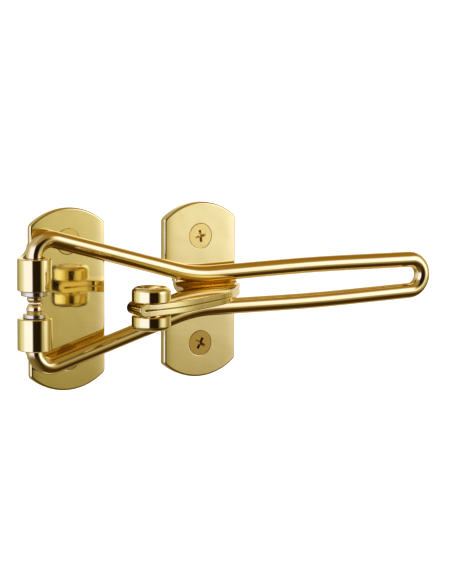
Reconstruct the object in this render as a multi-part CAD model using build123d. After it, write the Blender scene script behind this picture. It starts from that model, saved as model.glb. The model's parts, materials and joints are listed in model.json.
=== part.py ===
from build123d import *
import math
import os

# Swing-bar door guard, in millimetres.
# +X runs along the wall from the hinge side to the stud side, +Y goes into the wall and +Z is up.
# The origin is the middle of the arm base plate's back face.

# ---- Base plates, pressed from one thickness of sheet ----
SHEET = 2.4
PLATE_WIDTH = 34.5
ARM_PLATE = {"height": 76.5, "screw_pitch": 48.5}
STUD_PLATE = {"height": 75.0, "screw_pitch": 46.0}
PLATE_END_RADIUS = 25.5  # the arched top and bottom
PLATE_CORNER_RADIUS = 2.2  # where an arch meets a straight side
PLATE_EDGE_ROUND = 0.9  # around the front face
BACKING_THICKNESS = 1.0  # flat plate behind the folded stud plate

# ---- Countersunk M5 screws ----
SCREW_LENGTH = 16.0
SCREW_RADIUS = 2.5
SCREW_POINT = 0.8  # chamfer at the tip
SCREW_HEAD_RADIUS = 5.2
SCREW_HEAD_PROUD = 0.1
SCREW_HOLE_RADIUS = 2.75
COUNTERSINK_RADIUS = 5.4
COUNTERSINK_LIP = 0.4  # rounded edge of the countersink
BACKING_HOLE_RADIUS = 3.8
RECESS_SPAN = 5.2  # cross recess, wing tip to wing tip
RECESS_WING = 1.2
RECESS_DEPTH = 2.2
RECESS_TAPER = 0.45  # size of the recess floor over its mouth
SCREW_TURNS = {"upper": 8.0, "lower": -28.0}  # how far each recess is turned, in degrees

# ---- Arm: one bent round bar ----
BAR_RADIUS = 3.5
ARM_SHOULDER_HEIGHT = 28.7  # sharp corner above the hinge, before bending
ARM_SHOULDER_BEND = 7.2
ARM_THROAT_REACH = 74.2  # where the wide mouth turns into the narrow slot
ARM_THROAT_HEIGHT = 7.1
ARM_THROAT_BEND = 60.0
ARM_WAIST_REACH = 133.0  # widest place of the slightly bowed slot
ARM_WAIST_HEIGHT = 7.95
ARM_WAIST_BEND = 900.0
ARM_REACH = 190.9  # hinge axis to the centreline of the rounded end
ARM_END_BEND = 7.0

# ---- Knuckles, rolled from the arm plate's sheet ----
KNUCKLE_RADIUS = 7.2
KNUCKLE_BORE = KNUCKLE_RADIUS - SHEET
KNUCKLE_INNER_END = 5.7  # from mid height to the facing ends
KNUCKLE_OUTER_END = 19.0
KNUCKLE_CHAMFER = 0.3
KNUCKLE_SEAM = 0.4  # gap where the rolled tongue comes back to the plate
KNUCKLE_ROOT_RADIUS = 5.0  # fillet from the plate's edge out to the rolled tongue
BUSH_INSET = 1.0
RUNNING_CLEARANCE = 0.06
HINGE_TO_PLATE_EDGE = 0.4
HINGE_X = -PLATE_WIDTH / 2 - HINGE_TO_PLATE_EDGE
HINGE_Y = -KNUCKLE_RADIUS

# ---- Pivot ends of the bar: a tenon, a washer and a swaged head on each ----
TENON_RADIUS = 2.5
TENON_SHOULDER = KNUCKLE_INNER_END + 0.2
WASHER_BORE = TENON_RADIUS + 0.1
WASHER_EDGE = 0.35
END_PLAY = 0.05
UPPER_WASHER = {"radius": 5.7, "thickness": 2.1}
LOWER_WASHER = {"radius": 4.8, "thickness": 1.8}
UPPER_HEAD = {"radius": 3.2, "tip_radius": 2.5, "length": 2.8}
LOWER_HEAD = {"radius": 3.55, "tip_radius": 2.4, "length": 4.1}
HEAD_SEAT = 0.88  # radius at the washer over the widest radius
HEAD_WIDEST = 0.35  # how far along a head its widest place is
HEAD_FLANK_SWELL = 0.25
NOTCH_CLEARANCE = 0.35  # between the upper washer and the notch in the plate's edge

# ---- Stud side: one sheet, folded into a double blade along mid height ----
STUD_PLATE_X = HINGE_X + 79.75
STUD_SHEET_BACK = -BACKING_THICKNESS
STUD_SHEET_FRONT = STUD_SHEET_BACK - SHEET
STUD_NOTCH_DEPTH = 5.2  # in the plate's left edge, beside the blade
STUD_NOTCH_HALF_HEIGHT = 9.5
STUD_NOTCH_CORNER = 2.0
BACKING_NOTCH_DEPTH = 10.5  # open behind the end of the fold
BACKING_NOTCH_HALF_HEIGHT = 4.2
BLADE_SEAM = 0.1
BLADE_TOP = SHEET + BLADE_SEAM / 2
SPREAD_RADIUS = 2.0  # inside radius of the bends from the blade to the plate's halves
SPREAD_Y = STUD_SHEET_FRONT - SPREAD_RADIUS
SPREAD_TOP = BLADE_TOP + SPREAD_RADIUS
BLADE_ROOT_LEFT = STUD_PLATE_X - PLATE_WIDTH / 2 + STUD_NOTCH_DEPTH
BLADE_ROOT_RIGHT = STUD_PLATE_X + PLATE_WIDTH / 2
PIN_X = HINGE_X + 36.9
PIN_Y = -39.1
BLADE_HALF_WIDTH = 6.0  # at the pin
BLADE_ROOT_LEFT_Y = -11.8  # where the left edge turns towards the pin
BLADE_ROOT_RIGHT_Y = -7.5
BLADE_ROOT_CORNER = 2.5  # at the right end of the root
BLADE_REAR_CURVE = 8.0  # both turns of the rear edge
BLADE_CHEEK_CURVE = 30.0
BLADE_STRAP_REAR = 7.1  # how far past the pin the strap's edges run straight
BLADE_STRAP_FRONT = 9.7
BLADE_FRONT_CURVE = 60.0
BLADE_EDGE_ROUND = 0.4  # the sheared edges, rounded by polishing
BLADE_CHEEK_X = BLADE_ROOT_RIGHT - 17.3  # where the front edge leaves the pin's direction
BLADE_CHEEK_Y = -29.6
NOSE_REACH = 8.2  # pin axis to the fold
NOSE_RADIUS = 2.6
NOSE_TAPER = 8.0  # over this length the fold closes to the thin seam

# ---- Pin and rollers ----
PIN_RADIUS = 3.0
PIN_HEAD_RADIUS = 4.4
PIN_HEAD_THICKNESS = 0.9
PIN_HEAD_EDGE = 0.5
ROLLER_RADIUS = 8.0
ROLLER_TOP = 8.7
ROLLER_BOTTOM = 2.9
ROLLER_EDGE_ROUND = 2.0
ROLLER_LOWER_CHAMFER = 0.3
ROLLER_BOSS_RADIUS = 4.6  # raised ring that the roller rests on
ROLLER_RECESS_RADIUS = 5.1
ROLLER_RECESS_DEPTH = 1.1


def turned(profile):
    """Solid of revolution about Z, from (radius, height) points."""
    face = make_face(Plane.XZ * Polyline(*profile, close=True))
    return revolve(face, axis=Axis.Z)


def facing_front(x, y, z):
    """Place whose own Z points out of the wall, at the viewer."""
    return Plane(origin=(x, y, z), x_dir=(1, 0, 0), z_dir=(0, -1, 0))


def screw_heights(plate):
    return {"upper": plate["screw_pitch"] / 2, "lower": -plate["screw_pitch"] / 2}


def screw_hole():
    """Cutter for one countersunk hole. Its own Z = 0 is the plate's front face."""
    below = -2 * SHEET
    cone = COUNTERSINK_RADIUS - SCREW_HOLE_RADIUS
    return turned(
        [
            (0, 1),
            (COUNTERSINK_RADIUS, 1),
            (COUNTERSINK_RADIUS, 0),
            (SCREW_HOLE_RADIUS, -cone),
            (SCREW_HOLE_RADIUS, below),
            (0, below),
        ]
    )


def plate_outline(height):
    """Face with straight sides and arched ends."""
    half_width = PLATE_WIDTH / 2
    half_height = height / 2
    arch_rise = PLATE_END_RADIUS - math.sqrt(PLATE_END_RADIUS**2 - half_width**2)
    shoulder = half_height - arch_rise
    outline = [
        Line((-half_width, -shoulder), (-half_width, shoulder)),
        ThreePointArc((-half_width, shoulder), (0, half_height), (half_width, shoulder)),
        Line((half_width, shoulder), (half_width, -shoulder)),
        ThreePointArc((half_width, -shoulder), (0, -half_height), (-half_width, -shoulder)),
    ]
    face = make_face(outline)
    return fillet(face.vertices(), PLATE_CORNER_RADIUS)


def pressed_plate(outline, plate):
    """Sheet with a rounded front edge and two countersunk holes. Its own Z = 0 is its back face."""
    sheet = extrude(outline, amount=SHEET)
    sheet = fillet(sheet.faces().sort_by(Axis.Z)[-1].edges(), PLATE_EDGE_ROUND)
    for height in screw_heights(plate).values():
        sheet -= Pos(0, height, SHEET) * screw_hole()
    mouths = sheet.faces().sort_by(Axis.Z)[-1].inner_wires()
    return fillet([edge for mouth in mouths for edge in mouth.edges()], COUNTERSINK_LIP)


def knuckle():
    """Upper rolled knuckle: a curl of the plate's sheet, on its flat tongue."""
    inside, outside = KNUCKLE_INNER_END, KNUCKLE_OUTER_END
    curl = turned(
        [
            (KNUCKLE_BORE, inside),
            (KNUCKLE_RADIUS - KNUCKLE_CHAMFER, inside),
            (KNUCKLE_RADIUS, inside + KNUCKLE_CHAMFER),
            (KNUCKLE_RADIUS, outside - KNUCKLE_CHAMFER),
            (KNUCKLE_RADIUS - KNUCKLE_CHAMFER, outside),
            (KNUCKLE_BORE, outside),
        ]
    )
    length = outside - inside
    middle = (inside + outside) / 2
    seam = Box(2 * KNUCKLE_RADIUS, KNUCKLE_SEAM, 2 * length, align=(Align.MIN, Align.MAX, Align.CENTER))
    curl = Pos(HINGE_X, HINGE_Y, 0) * curl - Pos(HINGE_X, -SHEET, middle) * seam
    tongue = Box(KNUCKLE_BORE, SHEET, length, align=(Align.MIN, Align.MAX, Align.CENTER))
    bore = Cylinder(KNUCKLE_BORE, 2 * length)
    return curl + Pos(HINGE_X, 0, middle) * tongue - Pos(HINGE_X, HINGE_Y, middle) * bore


def knuckle_root():
    """Fillet in the sheet's outline above the upper knuckle. It follows the start of the curl."""
    radius = KNUCKLE_ROOT_RADIUS
    ring = Cylinder(KNUCKLE_RADIUS, radius) - Cylinder(KNUCKLE_BORE, radius)
    quarter = Box(radius, KNUCKLE_RADIUS, radius, align=(Align.MAX, Align.MIN, Align.CENTER))
    strip = Box(2 * HINGE_TO_PLATE_EDGE, SHEET, radius, align=(Align.MIN, Align.MAX, Align.CENTER))
    sheet = (ring & quarter) + Pos(0, KNUCKLE_RADIUS, 0) * strip
    cutter = Pos(-radius, 0, radius / 2) * Rot(90, 0, 0) * Cylinder(radius, 4 * KNUCKLE_RADIUS)
    return Pos(HINGE_X, HINGE_Y, KNUCKLE_OUTER_END + radius / 2) * (sheet - cutter)


def arm_base_plate():
    """Plate with both knuckles, notched between them for the washers and pivot heads."""
    reach = UPPER_WASHER["radius"] + NOTCH_CLEARANCE
    notch = Box(2 * reach, 4 * SHEET, 2 * KNUCKLE_INNER_END)
    plate = facing_front(0, 0, 0) * pressed_plate(plate_outline(ARM_PLATE["height"]), ARM_PLATE)
    upper = knuckle() + knuckle_root()
    return plate - Pos(HINGE_X, 0, 0) * notch + upper + mirror(upper, about=Plane.XY)


def bush():
    """Nylon sleeve in the upper knuckle."""
    bottom = KNUCKLE_INNER_END + BUSH_INSET
    top = KNUCKLE_OUTER_END - BUSH_INSET
    bore = BAR_RADIUS + RUNNING_CLEARANCE
    sleeve = turned([(bore, bottom), (KNUCKLE_BORE, bottom), (KNUCKLE_BORE, top), (bore, top)])
    return Pos(HINGE_X, HINGE_Y, 0) * sleeve


def washer(size, side):
    """Washer against a knuckle's inner end. Side is 1 for the upper one, -1 for the lower one."""
    radius = size["radius"]
    outer = side * (KNUCKLE_INNER_END - END_PLAY)
    inner = outer - side * size["thickness"]
    ring = turned([(WASHER_BORE, outer), (radius, outer), (radius, inner), (WASHER_BORE, inner)])
    ring = fillet(ring.edges().filter_by(GeomType.CIRCLE).group_by(SortBy.RADIUS)[-1], WASHER_EDGE)
    return Pos(HINGE_X, HINGE_Y, 0) * ring


def pivot_end(washer_size, head, side):
    """Tenon and swaged head at one end of the bar."""
    radius, tip_radius = head["radius"], head["tip_radius"]
    seat = KNUCKLE_INNER_END - END_PLAY - washer_size["thickness"]
    tip = seat - head["length"]
    widest = seat - HEAD_WIDEST * head["length"]
    flank_radius = (radius + tip_radius) / 2 + HEAD_FLANK_SWELL
    outline = [
        Polyline(
            (tip_radius, side * tip),
            (0, side * tip),
            (0, side * TENON_SHOULDER),
            (TENON_RADIUS, side * TENON_SHOULDER),
            (TENON_RADIUS, side * seat),
            (HEAD_SEAT * radius, side * seat),
            (radius, side * widest),
        ),
        Spline((radius, side * widest), (flank_radius, side * (widest + tip) / 2), (tip_radius, side * tip)),
    ]
    return revolve(make_face(Plane.XZ * Curve(outline)), axis=Axis.Z)


def guard_arm():
    """Round bar: pivot end, wide mouth, slightly bowed slot, rounded end, and the same back."""
    end_centre = ARM_REACH - ARM_END_BEND
    run = end_centre - ARM_WAIST_REACH
    slope = math.atan2(ARM_WAIST_HEIGHT, run) - math.asin(ARM_END_BEND / math.hypot(run, ARM_WAIST_HEIGHT))
    tangent_x = end_centre + ARM_END_BEND * math.sin(slope)
    tangent_z = ARM_END_BEND * math.cos(slope)
    upper = FilletPolyline(
        (0, TENON_SHOULDER),
        (0, ARM_SHOULDER_HEIGHT),
        (ARM_THROAT_REACH, ARM_THROAT_HEIGHT),
        (ARM_WAIST_REACH, ARM_WAIST_HEIGHT),
        (tangent_x, tangent_z),
        radius=[ARM_SHOULDER_BEND, ARM_THROAT_BEND, ARM_WAIST_BEND],
    )
    end = ThreePointArc((tangent_x, tangent_z), (ARM_REACH, 0), (tangent_x, -tangent_z))
    lower = mirror(upper, about=Plane.XZ)
    path = Plane.XZ * Wire(upper.edges() + end.edges() + lower.edges())
    start = Plane(origin=(0, 0, TENON_SHOULDER), z_dir=(0, 0, 1))
    bar = sweep(start * Circle(BAR_RADIUS), path=path)
    bar += pivot_end(UPPER_WASHER, UPPER_HEAD, 1)
    bar += pivot_end(LOWER_WASHER, LOWER_HEAD, -1)
    return Pos(HINGE_X, HINGE_Y, 0) * bar


def cross(scale):
    """Outline of the cross recess at one depth."""
    span, wing = RECESS_SPAN * scale, RECESS_WING * (1 + scale) / 2
    return Rectangle(span, wing) + Rectangle(wing, span)


def screw(x, plate_front, z, turn):
    """Countersunk screw, flush in its plate, its shank standing out of the plate's back."""
    rim = SCREW_HEAD_RADIUS - COUNTERSINK_RADIUS
    cone_end = SCREW_RADIUS - COUNTERSINK_RADIUS
    body = turned(
        [
            (0, SCREW_HEAD_PROUD),
            (SCREW_HEAD_RADIUS, SCREW_HEAD_PROUD),
            (SCREW_HEAD_RADIUS, rim),
            (SCREW_RADIUS, cone_end),
            (SCREW_RADIUS, SCREW_POINT - SCREW_LENGTH),
            (SCREW_RADIUS - SCREW_POINT, -SCREW_LENGTH),
            (0, -SCREW_LENGTH),
        ]
    )
    recess = loft(
        [
            Pos(0, 0, SCREW_HEAD_PROUD) * cross(1),
            Pos(0, 0, SCREW_HEAD_PROUD - RECESS_DEPTH) * cross(RECESS_TAPER),
        ],
        ruled=True,
    )
    return facing_front(x, plate_front, z) * Rot(0, 0, turn) * (body - recess)


def stud_outline():
    """The stud plate's outline, notched beside the blade."""
    notch = RectangleRounded(2 * STUD_NOTCH_DEPTH, 2 * STUD_NOTCH_HALF_HEIGHT, STUD_NOTCH_CORNER)
    return plate_outline(STUD_PLATE["height"]) - Pos(-PLATE_WIDTH / 2, 0) * notch


def stud_backing_plate():
    """Flat plate spot-welded behind the folded sheet, clear of the screws and of the fold's end."""
    fold_notch = RectangleRounded(2 * BACKING_NOTCH_DEPTH, 2 * BACKING_NOTCH_HALF_HEIGHT, STUD_NOTCH_CORNER)
    plate = extrude(stud_outline() - Pos(-PLATE_WIDTH / 2, 0) * fold_notch, amount=BACKING_THICKNESS)
    for height in screw_heights(STUD_PLATE).values():
        plate -= Pos(0, height, 0) * Cylinder(BACKING_HOLE_RADIUS, 4 * BACKING_THICKNESS)
    return facing_front(STUD_PLATE_X, 0, 0) * plate


def blade_outline():
    """The blade seen from above: a straight strap at the pin that widens to its root at the plate."""
    nose = PIN_X - NOSE_REACH
    rear, front = PIN_Y + BLADE_HALF_WIDTH, PIN_Y - BLADE_HALF_WIDTH
    corners = [
        ((nose, rear), 0),
        ((PIN_X + BLADE_STRAP_REAR, rear), BLADE_REAR_CURVE),
        ((BLADE_ROOT_LEFT, BLADE_ROOT_LEFT_Y), BLADE_REAR_CURVE),
        ((BLADE_ROOT_LEFT, SPREAD_Y), 0),
        ((BLADE_ROOT_RIGHT, SPREAD_Y), 0),
        ((BLADE_ROOT_RIGHT, BLADE_ROOT_RIGHT_Y), BLADE_ROOT_CORNER),
        ((BLADE_CHEEK_X, BLADE_CHEEK_Y), BLADE_CHEEK_CURVE),
        ((PIN_X + BLADE_STRAP_FRONT, front), BLADE_FRONT_CURVE),
        ((nose, front), 0),
    ]
    return make_face(
        FilletPolyline(*[point for point, _ in corners], radius=[bend for _, bend in corners], close=True)
    )


def fold_section(nose_radius, half_height, right):
    """Side view of one face of the fold: a round nose that narrows to two parallel lines."""
    centre = PIN_X - NOSE_REACH + NOSE_RADIUS
    closed = PIN_X - NOSE_REACH + NOSE_TAPER
    nose = ThreePointArc((centre, -nose_radius), (centre - nose_radius, 0), (centre, nose_radius))
    flanks = Polyline(
        (centre, nose_radius),
        (closed, half_height),
        (right, half_height),
        (right, -half_height),
        (closed, -half_height),
        (centre, -nose_radius),
    )
    return make_face([nose, flanks])


def sheared_edges(strap):
    """Long edges of the upright cut faces, all round the strap but not across its root."""
    level = 0.02  # a smaller share of a face's normal counts as none
    cut_faces = [
        face
        for face in strap.faces()
        if abs(face.normal_at().Z) < level < abs(face.normal_at().Y) and face.center().Y < SPREAD_Y - SHEET
    ]
    edges = ShapeList(edge for face in cut_faces for edge in face.edges())
    return edges.filter_by(Axis.Z, reverse=True)


def blade():
    """Both layers of the blade, with the fold at the nose and the thin seam between the layers."""
    outer_face = fold_section(NOSE_RADIUS, BLADE_TOP, BLADE_ROOT_RIGHT)
    inner_face = fold_section(NOSE_RADIUS - SHEET, BLADE_SEAM / 2, BLADE_ROOT_RIGHT + 1)
    folded = extrude(Plane.XZ * (outer_face - inner_face), amount=-2 * PIN_Y)
    plan = extrude(Pos(0, 0, -NOSE_RADIUS) * blade_outline(), amount=2 * NOSE_RADIUS)
    strap = folded & plan
    strap = fillet(sheared_edges(strap), BLADE_EDGE_ROUND)
    pin_hole = Cylinder(PIN_RADIUS, 4 * BLADE_TOP)
    return strap - Pos(PIN_X, PIN_Y, 0) * pin_hole


def upper_bend():
    """Quarter bend from the blade's upper layer to the plate's upper half."""
    section = make_face(
        [
            Line((SPREAD_Y, BLADE_SEAM / 2), (SPREAD_Y, BLADE_TOP)),
            RadiusArc((SPREAD_Y, BLADE_TOP), (STUD_SHEET_FRONT, SPREAD_TOP), -SPREAD_RADIUS),
            Line((STUD_SHEET_FRONT, SPREAD_TOP), (STUD_SHEET_BACK, SPREAD_TOP)),
            RadiusArc((STUD_SHEET_BACK, SPREAD_TOP), (SPREAD_Y, BLADE_SEAM / 2), SPREAD_RADIUS + SHEET),
        ]
    )
    return extrude(Plane.YZ.offset(BLADE_ROOT_LEFT) * section, amount=BLADE_ROOT_RIGHT - BLADE_ROOT_LEFT)


def stud_bracket():
    """One sheet: the upper half of the plate, the double blade and the lower half of the plate."""
    band = Box(2 * PLATE_WIDTH, 2 * SPREAD_TOP, 4 * SHEET)
    halves = pressed_plate(stud_outline(), STUD_PLATE) - band
    bend = upper_bend()
    bracket = facing_front(STUD_PLATE_X, STUD_SHEET_BACK, 0) * halves
    return bracket + bend + mirror(bend, about=Plane.XY) + blade()


def stud_pin():
    """Rivet through the blade, headed inside each roller's recess."""
    seat = ROLLER_TOP - ROLLER_RECESS_DEPTH + END_PLAY
    crown = seat + PIN_HEAD_THICKNESS
    half = [
        (PIN_RADIUS, seat),
        (PIN_HEAD_RADIUS, seat),
        (PIN_HEAD_RADIUS, crown - PIN_HEAD_EDGE),
        (PIN_HEAD_RADIUS - 2 * PIN_HEAD_EDGE, crown),
        (0, crown),
    ]
    other_half = [(radius, -height) for radius, height in reversed(half)]
    return Pos(PIN_X, PIN_Y, 0) * turned(half + other_half)


def upper_roller():
    """Turned collar, free on the pin, with a rounded rim and a shallow recess for the pin's head."""
    bore = PIN_RADIUS + RUNNING_CLEARANCE
    boss = NOSE_RADIUS + END_PLAY
    floor = ROLLER_TOP - ROLLER_RECESS_DEPTH
    collar = turned(
        [
            (bore, boss),
            (ROLLER_BOSS_RADIUS, boss),
            (ROLLER_BOSS_RADIUS, ROLLER_BOTTOM),
            (ROLLER_RADIUS - ROLLER_LOWER_CHAMFER, ROLLER_BOTTOM),
            (ROLLER_RADIUS, ROLLER_BOTTOM + ROLLER_LOWER_CHAMFER),
            (ROLLER_RADIUS, ROLLER_TOP),
            (ROLLER_RECESS_RADIUS, ROLLER_TOP),
            (ROLLER_RECESS_RADIUS, floor),
            (bore, floor),
        ]
    )
    rim = collar.edges().filter_by(GeomType.CIRCLE).group_by(Axis.Z)[-1].sort_by(SortBy.RADIUS)[-1]
    return Pos(PIN_X, PIN_Y, 0) * fillet(rim, ROLLER_EDGE_ROUND)


def screws(side, plate, centre_x, plate_front):
    """The two screws of one plate, keyed by node name."""
    return {
        f"{side}_plate_screw_{level}": screw(centre_x, plate_front, height, SCREW_TURNS[level])
        for level, height in screw_heights(plate).items()
    }


def parts():
    """Every node of the assembly, keyed by name."""
    upper_bush = bush()
    top_roller = upper_roller()
    nodes = {
        "arm_base_plate": arm_base_plate(),
        "upper_bush": upper_bush,
        "lower_bush": mirror(upper_bush, about=Plane.XY),
        "guard_arm": guard_arm(),
        "upper_washer": washer(UPPER_WASHER, 1),
        "lower_washer": washer(LOWER_WASHER, -1),
        "stud_backing_plate": stud_backing_plate(),
        "stud_bracket": stud_bracket(),
        "stud_pin": stud_pin(),
        "upper_roller": top_roller,
        "lower_roller": mirror(top_roller, about=Plane.XY),
    }
    nodes.update(screws("arm", ARM_PLATE, 0, -SHEET))
    nodes.update(screws("stud", STUD_PLATE, STUD_PLATE_X, STUD_SHEET_FRONT))
    return nodes


os.makedirs("parts", exist_ok=True)
for name, shape in parts().items():
    export_step(shape, f"parts/{name}.step")
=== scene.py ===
import json
import math

import bpy
from mathutils import Matrix, Vector


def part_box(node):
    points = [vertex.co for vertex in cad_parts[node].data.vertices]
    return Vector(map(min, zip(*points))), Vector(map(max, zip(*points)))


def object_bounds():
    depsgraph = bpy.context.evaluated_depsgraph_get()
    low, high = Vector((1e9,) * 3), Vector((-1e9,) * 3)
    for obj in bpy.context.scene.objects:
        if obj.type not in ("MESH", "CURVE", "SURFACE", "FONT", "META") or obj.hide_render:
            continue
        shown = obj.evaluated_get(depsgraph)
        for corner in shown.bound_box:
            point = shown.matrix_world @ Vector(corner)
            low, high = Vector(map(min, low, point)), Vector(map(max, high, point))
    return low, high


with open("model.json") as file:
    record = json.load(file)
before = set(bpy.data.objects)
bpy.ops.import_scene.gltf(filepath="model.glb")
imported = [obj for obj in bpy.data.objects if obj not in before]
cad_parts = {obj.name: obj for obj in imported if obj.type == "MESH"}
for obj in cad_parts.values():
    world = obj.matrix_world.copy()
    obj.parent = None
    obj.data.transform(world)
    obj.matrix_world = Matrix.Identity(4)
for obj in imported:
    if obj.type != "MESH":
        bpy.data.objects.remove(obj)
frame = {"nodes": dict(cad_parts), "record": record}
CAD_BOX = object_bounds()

# Swing-bar door guard in polished brass. Metres, in the frame of the CAD model.

# ---- Camera ----
CAMERA_TARGET = Vector((0.0704, -0.0110, -0.0006))
CAMERA_AZIMUTH = -30.0
CAMERA_ELEVATION = 8.416
CAMERA_ROLL = 0.301
CAMERA_DISTANCE = 1.0734
CAMERA_LENS = 155.9  # mm
CAMERA_SENSOR = 36.0  # mm
CAMERA_CLIP = (0.01, 80.0)

# ---- Studio: what polished brass reflects in each direction ----
# Each band lists (azimuth, colour). Azimuths are in degrees: 0 is straight out of the wall (-Y) and 90 is +X.
# Colours are shares of STUDIO_BRIGHTNESS.
STUDIO_BRIGHTNESS = 3.0
STUDIO_LOW = [  # just below eye level
    (-180, (0.120, 0.113, 0.067)),
    (-150, (0.093, 0.080, 0.067)),
    (-142, (0.187, 0.187, 0.146)),
    (-120, (0.260, 0.273, 0.314)),
    (-103, (0.307, 0.334, 0.538)),
    (-92, (0.387, 0.414, 0.986)),  # left softbox
    (-43, (0.387, 0.414, 0.986)),
    (-36, (0.007, 0.004, 0.003)),  # dark room around the camera
    (12, (0.005, 0.003, 0.002)),
    (20, (0.053, 0.047, 0.022)),
    (26, (0.098, 0.080, 0.027)),  # warm side wall
    (31, (0.135, 0.107, 0.054)),
    (45, (0.215, 0.203, 0.150)),
    (62, (0.215, 0.203, 0.150)),
    (76, (0.087, 0.067, 0.022)),
    (90, (0.080, 0.060, 0.011)),
    (115, (0.173, 0.133, 0.056)),
    (150, (0.173, 0.147, 0.101)),
    (180, (0.120, 0.113, 0.067)),
]
STUDIO_EYE = [  # just above eye level
    (-180, (0.173, 0.167, 0.157)),
    (-150, (0.160, 0.147, 0.157)),
    (-120, (0.260, 0.273, 0.314)),
    (-103, (0.307, 0.334, 0.538)),
    (-92, (0.387, 0.414, 0.986)),
    (-43, (0.387, 0.414, 0.986)),
    (-36, (0.007, 0.004, 0.003)),
    (12, (0.005, 0.003, 0.002)),
    (20, (0.080, 0.067, 0.034)),
    (26, (0.238, 0.222, 0.178)),
    (31, (0.410, 0.435, 0.750)),  # right softbox
    (36, (0.445, 0.480, 0.960)),
    (52, (0.480, 0.534, 1.000)),
    (66, (0.267, 0.267, 0.314)),
    (90, (0.133, 0.107, 0.045)),
    (130, (0.300, 0.280, 0.280)),
    (160, (0.347, 0.334, 0.403)),
    (180, (0.173, 0.167, 0.157)),
]
STUDIO_ABOVE = [  # warm ceiling, brighter on the left
    (-180, (0.107, 0.073, 0.030)),
    (-100, (0.227, 0.207, 0.224)),
    (-40, (0.133, 0.100, 0.060)),
    (30, (0.130, 0.085, 0.020)),
    (75, (0.118, 0.061, 0.006)),
    (150, (0.105, 0.062, 0.010)),
    (180, (0.107, 0.073, 0.030)),
]
STUDIO_BELOW = [  # dark ground, paler towards the wall
    (-180, (0.093, 0.073, 0.045)),
    (-90, (0.080, 0.060, 0.034)),
    (0, (0.023, 0.012, 0.003)),
    (60, (0.020, 0.009, 0.001)),
    (102, (0.030, 0.014, 0.002)),
    (125, (0.200, 0.160, 0.112)),
    (150, (0.227, 0.187, 0.157)),
    (180, (0.093, 0.073, 0.045)),
]
# Elevations, in degrees, over which one band gives way to the next.
BELOW_TO_LOW = (-36.0, -14.0)
LOW_TO_EYE = (-12.5, -5.0)
EYE_TO_ABOVE = (25.0, 44.0)

GLOSSY_BOUNCES = 16  # light finds its way out of the fold between the blade and the bars

# ---- Floor ----
FLOOR_DROP = 0.18  # below the object
FLOOR_RADIUS = 6.0
FLOOR_SIDES = 48
RIM_HEIGHT = 4.0
FLOOR_COLOUR = (0.9, 0.9, 0.89, 1)
FLOOR_ROUGHNESS = 0.9
FLOOR_GLOW_COLOUR = (1, 1, 0.99, 1)
FLOOR_GLOW = 0.94

# ---- Lean that polishing gave the flat faces ----
PLATE_WIDTH = 0.0345
CROWN_DROP = 0.00012  # of a plate's front face at its long sides
CROWN_POWER = 11.0  # how late the drop sets in
BLADE_FALL = 0.06  # slope of the blade's faces towards its front edge
SOFT_MASK = (0.8, 0.98)  # share of the normal over which a face starts to count

# ---- Surface of every finish ----
NOISE_MIDDLE = (0.3, 0.7)  # the part of a noise's range that is spread over a change
TONE_SCALE = 35.0
TONE_DETAIL = 3.0
TONE_CHANGE = (0.96, 1.03)  # darkest and palest, over the finish's colour
GLOSS_SCALE = 260.0
GLOSS_DETAIL = 4.0
GLOSS_CHANGE = (0.7, 1.4)  # smoothest and roughest, over the finish's roughness
SWELL_SCALE = 90.0
SWELL_DETAIL = 1.0
SWELL_DEPTH = 0.001
SWELL_STRENGTH = 0.03
LINES_SCALE = 60.0
LINES_DETAIL = 5.0
LINES_DEPTH = 0.0001
LINES_STRENGTH = 0.02

# ---- Finishes, by the record's material slots ----
PLATE_BRASS = (0.91, 0.75, 0.25)
BAR_BRASS = (0.90, 0.72, 0.27)
SCREW_BRASS = (0.88, 0.68, 0.17)
DULL_BRASS = (0.60, 0.39, 0.06)
STEEL = (0.70, 0.62, 0.33)
NYLON = (0.80, 0.77, 0.68)
DULL_FINISH = "screw_brass_dull"
DULL_SCREWS = ("arm_plate_screw_lower", "stud_plate_screw_lower")  # drawn darker and rougher than the other screws
FINISHES = {  # colour, roughness, and how close the polishing lines are along X, Y and Z
    "plate_brass": (PLATE_BRASS, 0.06, (1, 1, 30)),
    "bar_brass": (BAR_BRASS, 0.07, (2, 30, 30)),
    "bracket_brass": (PLATE_BRASS, 0.07, (2, 2, 30)),
    "roller_brass": (PLATE_BRASS, 0.05, (1, 1, 60)),
    "screw_brass": (SCREW_BRASS, 0.10, (20, 20, 20)),
    DULL_FINISH: (DULL_BRASS, 0.16, (20, 20, 20)),
    "washer_steel": (STEEL, 0.16, (1, 1, 60)),
    "bush_nylon": (NYLON, 0.45, (40, 40, 40)),
}


def aim_camera():
    """A long lens, to the left of the wall's normal and a little above the object."""
    azimuth, elevation = math.radians(CAMERA_AZIMUTH), math.radians(CAMERA_ELEVATION)
    away = Vector(
        (
            math.sin(azimuth) * math.cos(elevation),
            -math.cos(azimuth) * math.cos(elevation),
            math.sin(elevation),
        )
    )
    data = bpy.data.cameras.new("camera")
    data.lens = CAMERA_LENS
    data.sensor_width = CAMERA_SENSOR
    data.clip_start, data.clip_end = CAMERA_CLIP
    camera = bpy.data.objects.new("camera", data)
    bpy.context.scene.collection.objects.link(camera)
    facing = away.to_track_quat("Z", "Y").to_matrix().to_4x4()
    roll = Matrix.Rotation(math.radians(CAMERA_ROLL), 4, "Z")
    camera.matrix_world = Matrix.Translation(CAMERA_TARGET + away * CAMERA_DISTANCE) @ facing @ roll
    bpy.context.scene.camera = camera


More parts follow.
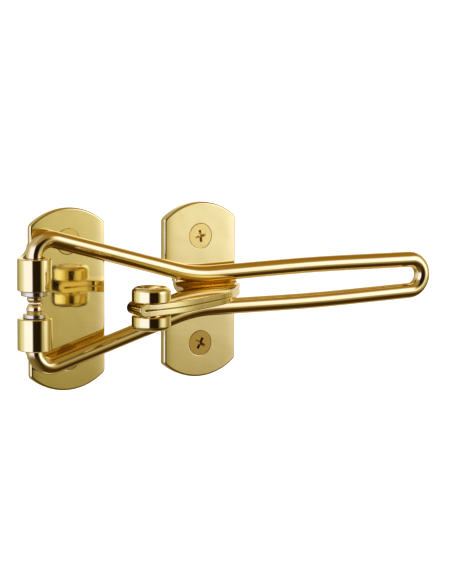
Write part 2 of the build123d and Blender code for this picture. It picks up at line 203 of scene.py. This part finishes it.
class Nodes:
    """Short way to build one node tree."""

    def __init__(self, tree):
        self.tree = tree

    def add(self, kind, **settings):
        node = self.tree.nodes.new(kind)
        for name, value in settings.items():
            setattr(node, name, value)
        return node

    def link(self, source, target):
        self.tree.links.new(source, target)

    def math(self, operation, a, b=None):
        node = self.add("ShaderNodeMath", operation=operation)
        for socket, value in zip(node.inputs, (a, b)):
            if isinstance(value, (int, float)):
                socket.default_value = value
            elif value is not None:
                self.link(value, socket)
        return node.outputs[0]

    def spread(self, value, low, high, to_low=0.0, to_high=1.0, smooth=False):
        """Value between low and high, mapped on to to_low ... to_high."""
        node = self.add("ShaderNodeMapRange", interpolation_type="SMOOTHSTEP" if smooth else "LINEAR")
        self.link(value, node.inputs["Value"])
        for name, number in (("From Min", low), ("From Max", high), ("To Min", to_low), ("To Max", to_high)):
            node.inputs[name].default_value = number
        return node.outputs["Result"]

    def ramp(self, factor, stops):
        """Colour ramp through (place from 0 to 1, colour) stops."""
        node = self.add("ShaderNodeValToRGB")
        elements = node.color_ramp.elements
        while len(elements) < len(stops):
            elements.new(0.5)
        for element, (place, colour) in zip(elements, stops):
            element.position = place
            element.color = (*colour, 1)
        self.link(factor, node.inputs["Fac"])
        return node.outputs["Color"]

    def split(self, vector):
        """X, Y and Z of a vector."""
        node = self.add("ShaderNodeSeparateXYZ")
        self.link(vector, node.inputs[0])
        return node.outputs

    def noise(self, place, scale, detail, stretch=None):
        """Soft noise from 0 to 1. Stretch multiplies the place along each axis."""
        if stretch:
            mapping = self.add("ShaderNodeMapping")
            mapping.inputs["Scale"].default_value = stretch
            self.link(place, mapping.inputs["Vector"])
            place = mapping.outputs["Vector"]
        node = self.add("ShaderNodeTexNoise")
        node.inputs["Scale"].default_value = scale
        node.inputs["Detail"].default_value = detail
        self.link(place, node.inputs["Vector"])
        return node.outputs["Fac"]

    def relief(self, height, distance, strength, under=None):
        """Normal of a height map. Strength is a number or a mask. Under is the normal that it starts from."""
        node = self.add("ShaderNodeBump")
        node.inputs["Distance"].default_value = distance
        self.link(height, node.inputs["Height"])
        if isinstance(strength, float):
            node.inputs["Strength"].default_value = strength
        else:
            self.link(strength, node.inputs["Strength"])
        if under:
            self.link(under, node.inputs["Normal"])
        return node.outputs["Normal"]

    def mix(self, factor, first, second):
        """From the first colour at 0 to the second at 1."""
        node = self.add("ShaderNodeMix", data_type="RGBA")
        self.link(factor, node.inputs["Factor"])
        self.link(first, node.inputs[6])
        self.link(second, node.inputs[7])
        return node.outputs[2]


def light_studio():
    """Soft panels and dark room, painted by direction around the object."""
    world = bpy.data.worlds.new("studio")
    bpy.context.scene.world = world
    world.use_nodes = True
    nodes = Nodes(world.node_tree)
    background = world.node_tree.nodes["Background"]
    place = nodes.add("ShaderNodeTexCoord")
    x, y, z = nodes.split(place.outputs["Generated"])
    azimuth = nodes.math("ARCTAN2", x, nodes.math("MULTIPLY", y, -1.0))
    turn = nodes.spread(azimuth, -math.pi, math.pi)
    elevation = nodes.math("ARCSINE", z)

    def band(stops):
        return nodes.ramp(turn, [((degrees + 180) / 360, shade) for degrees, shade in stops])

    colour = band(STUDIO_BELOW)
    for stops, (start, end) in (
        (STUDIO_LOW, BELOW_TO_LOW),
        (STUDIO_EYE, LOW_TO_EYE),
        (STUDIO_ABOVE, EYE_TO_ABOVE),
    ):
        share = nodes.spread(elevation, math.radians(start), math.radians(end), smooth=True)
        colour = nodes.mix(share, colour, band(stops))
    nodes.link(colour, background.inputs["Color"])
    background.inputs["Strength"].default_value = STUDIO_BRIGHTNESS


def lay_floor():
    """Wide pale floor with a far rim. It fills the view and is left out of the metal's reflections."""
    low = CAD_BOX[0][2] - FLOOR_DROP
    turns = [2 * math.pi * step / FLOOR_SIDES for step in range(FLOOR_SIDES)]
    circle = [(FLOOR_RADIUS * math.cos(turn), FLOOR_RADIUS * math.sin(turn)) for turn in turns]
    corners = [(x, y, low) for x, y in circle] + [(x, y, low + RIM_HEIGHT) for x, y in circle]
    faces = [tuple(range(FLOOR_SIDES))]
    for side in range(FLOOR_SIDES):
        following = (side + 1) % FLOOR_SIDES
        faces.append((side, following, following + FLOOR_SIDES, side + FLOOR_SIDES))
    mesh = bpy.data.meshes.new("floor")
    mesh.from_pydata(corners, [], faces)
    floor = bpy.data.objects.new("floor", mesh)
    bpy.context.scene.collection.objects.link(floor)
    floor.visible_glossy = False
    floor.visible_diffuse = False
    floor.visible_shadow = False
    material = bpy.data.materials.new("pale_floor")
    material.use_nodes = True
    shader = material.node_tree.nodes["Principled BSDF"]
    shader.inputs["Base Color"].default_value = FLOOR_COLOUR
    shader.inputs["Roughness"].default_value = FLOOR_ROUGHNESS
    shader.inputs["Emission Color"].default_value = FLOOR_GLOW_COLOUR
    shader.inputs["Emission Strength"].default_value = FLOOR_GLOW
    mesh.materials.append(material)


def leaning_normal(nodes, coordinates, fall, crown_box):
    """Normal of flat faces that polishing left a few degrees off, by fall or crown_box as in polished()."""
    x, y, _ = nodes.split(coordinates.outputs["Object"])
    _, facing_y, facing_z = nodes.split(coordinates.outputs["Normal"])
    normal = None
    if fall:
        level = nodes.spread(nodes.math("ABSOLUTE", facing_z), *SOFT_MASK)
        normal = nodes.relief(nodes.math("MULTIPLY", y, fall), 1.0, level)
    if crown_box:
        right_side = crown_box[1][0]
        across = nodes.spread(x, right_side - PLATE_WIDTH, right_side, -1.0, 1.0)
        crown = nodes.math("POWER", nodes.math("ABSOLUTE", across), CROWN_POWER)
        front = nodes.spread(nodes.math("MULTIPLY", facing_y, -1.0), *SOFT_MASK)
        normal = nodes.relief(nodes.math("MULTIPLY", crown, -CROWN_DROP), 1.0, front, normal)
    return normal


def polished(name, colour, roughness, line_scale, fall=0.0, crown_box=None):
    """Polished metal: tone and gloss that drift a little, soft waviness and fine polishing lines.

    Fall is the slope at which the level faces drop towards the front. Crown_box is the box of a node whose
    plate, at the box's right side, drops a little towards both long sides of its front face.
    """
    material = bpy.data.materials.new(name)
    material.use_nodes = True
    nodes = Nodes(material.node_tree)
    shader = material.node_tree.nodes["Principled BSDF"]
    shader.inputs["Metallic"].default_value = 1.0
    coordinates = nodes.add("ShaderNodeTexCoord")
    place = coordinates.outputs["Object"]

    shades = [tuple(change * channel for channel in colour) for change in TONE_CHANGE]
    tone = nodes.ramp(nodes.noise(place, TONE_SCALE, TONE_DETAIL), list(zip(NOISE_MIDDLE, shades)))
    nodes.link(tone, shader.inputs["Base Color"])
    smoothest, roughest = (change * roughness for change in GLOSS_CHANGE)
    gloss = nodes.spread(nodes.noise(place, GLOSS_SCALE, GLOSS_DETAIL), *NOISE_MIDDLE, smoothest, roughest)
    nodes.link(gloss, shader.inputs["Roughness"])

    normal = leaning_normal(nodes, coordinates, fall, crown_box) if fall or crown_box else None
    swell = nodes.noise(place, SWELL_SCALE, SWELL_DETAIL)
    normal = nodes.relief(swell, SWELL_DEPTH, SWELL_STRENGTH, normal)
    lines = nodes.noise(place, LINES_SCALE, LINES_DETAIL, line_scale)
    normal = nodes.relief(lines, LINES_DEPTH, LINES_STRENGTH, normal)
    nodes.link(normal, shader.inputs["Normal"])
    return material


def dress():
    """Gives every CAD node its finish."""
    leans = {
        "plate_brass": {"crown_box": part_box("arm_base_plate")},
        "bracket_brass": {"crown_box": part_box("stud_bracket"), "fall": BLADE_FALL},
    }
    finishes = {slot: polished(slot, *finish, **leans.get(slot, {})) for slot, finish in FINISHES.items()}
    nylon = finishes["bush_nylon"]
    nylon.node_tree.nodes["Principled BSDF"].inputs["Metallic"].default_value = 0.0
    for part in frame["record"]["subparts"]:
        slot = DULL_FINISH if part["node"] in DULL_SCREWS else part["material_slot"]
        for holder in frame["nodes"][part["node"]].material_slots:
            holder.material = finishes[slot]


aim_camera()
light_studio()
lay_floor()
dress()
bpy.context.scene.view_settings.view_transform = "Standard"
bpy.context.scene.cycles.glossy_bounces = GLOSSY_BOUNCES
bpy.context.scene.cycles.max_bounces = GLOSSY_BOUNCES
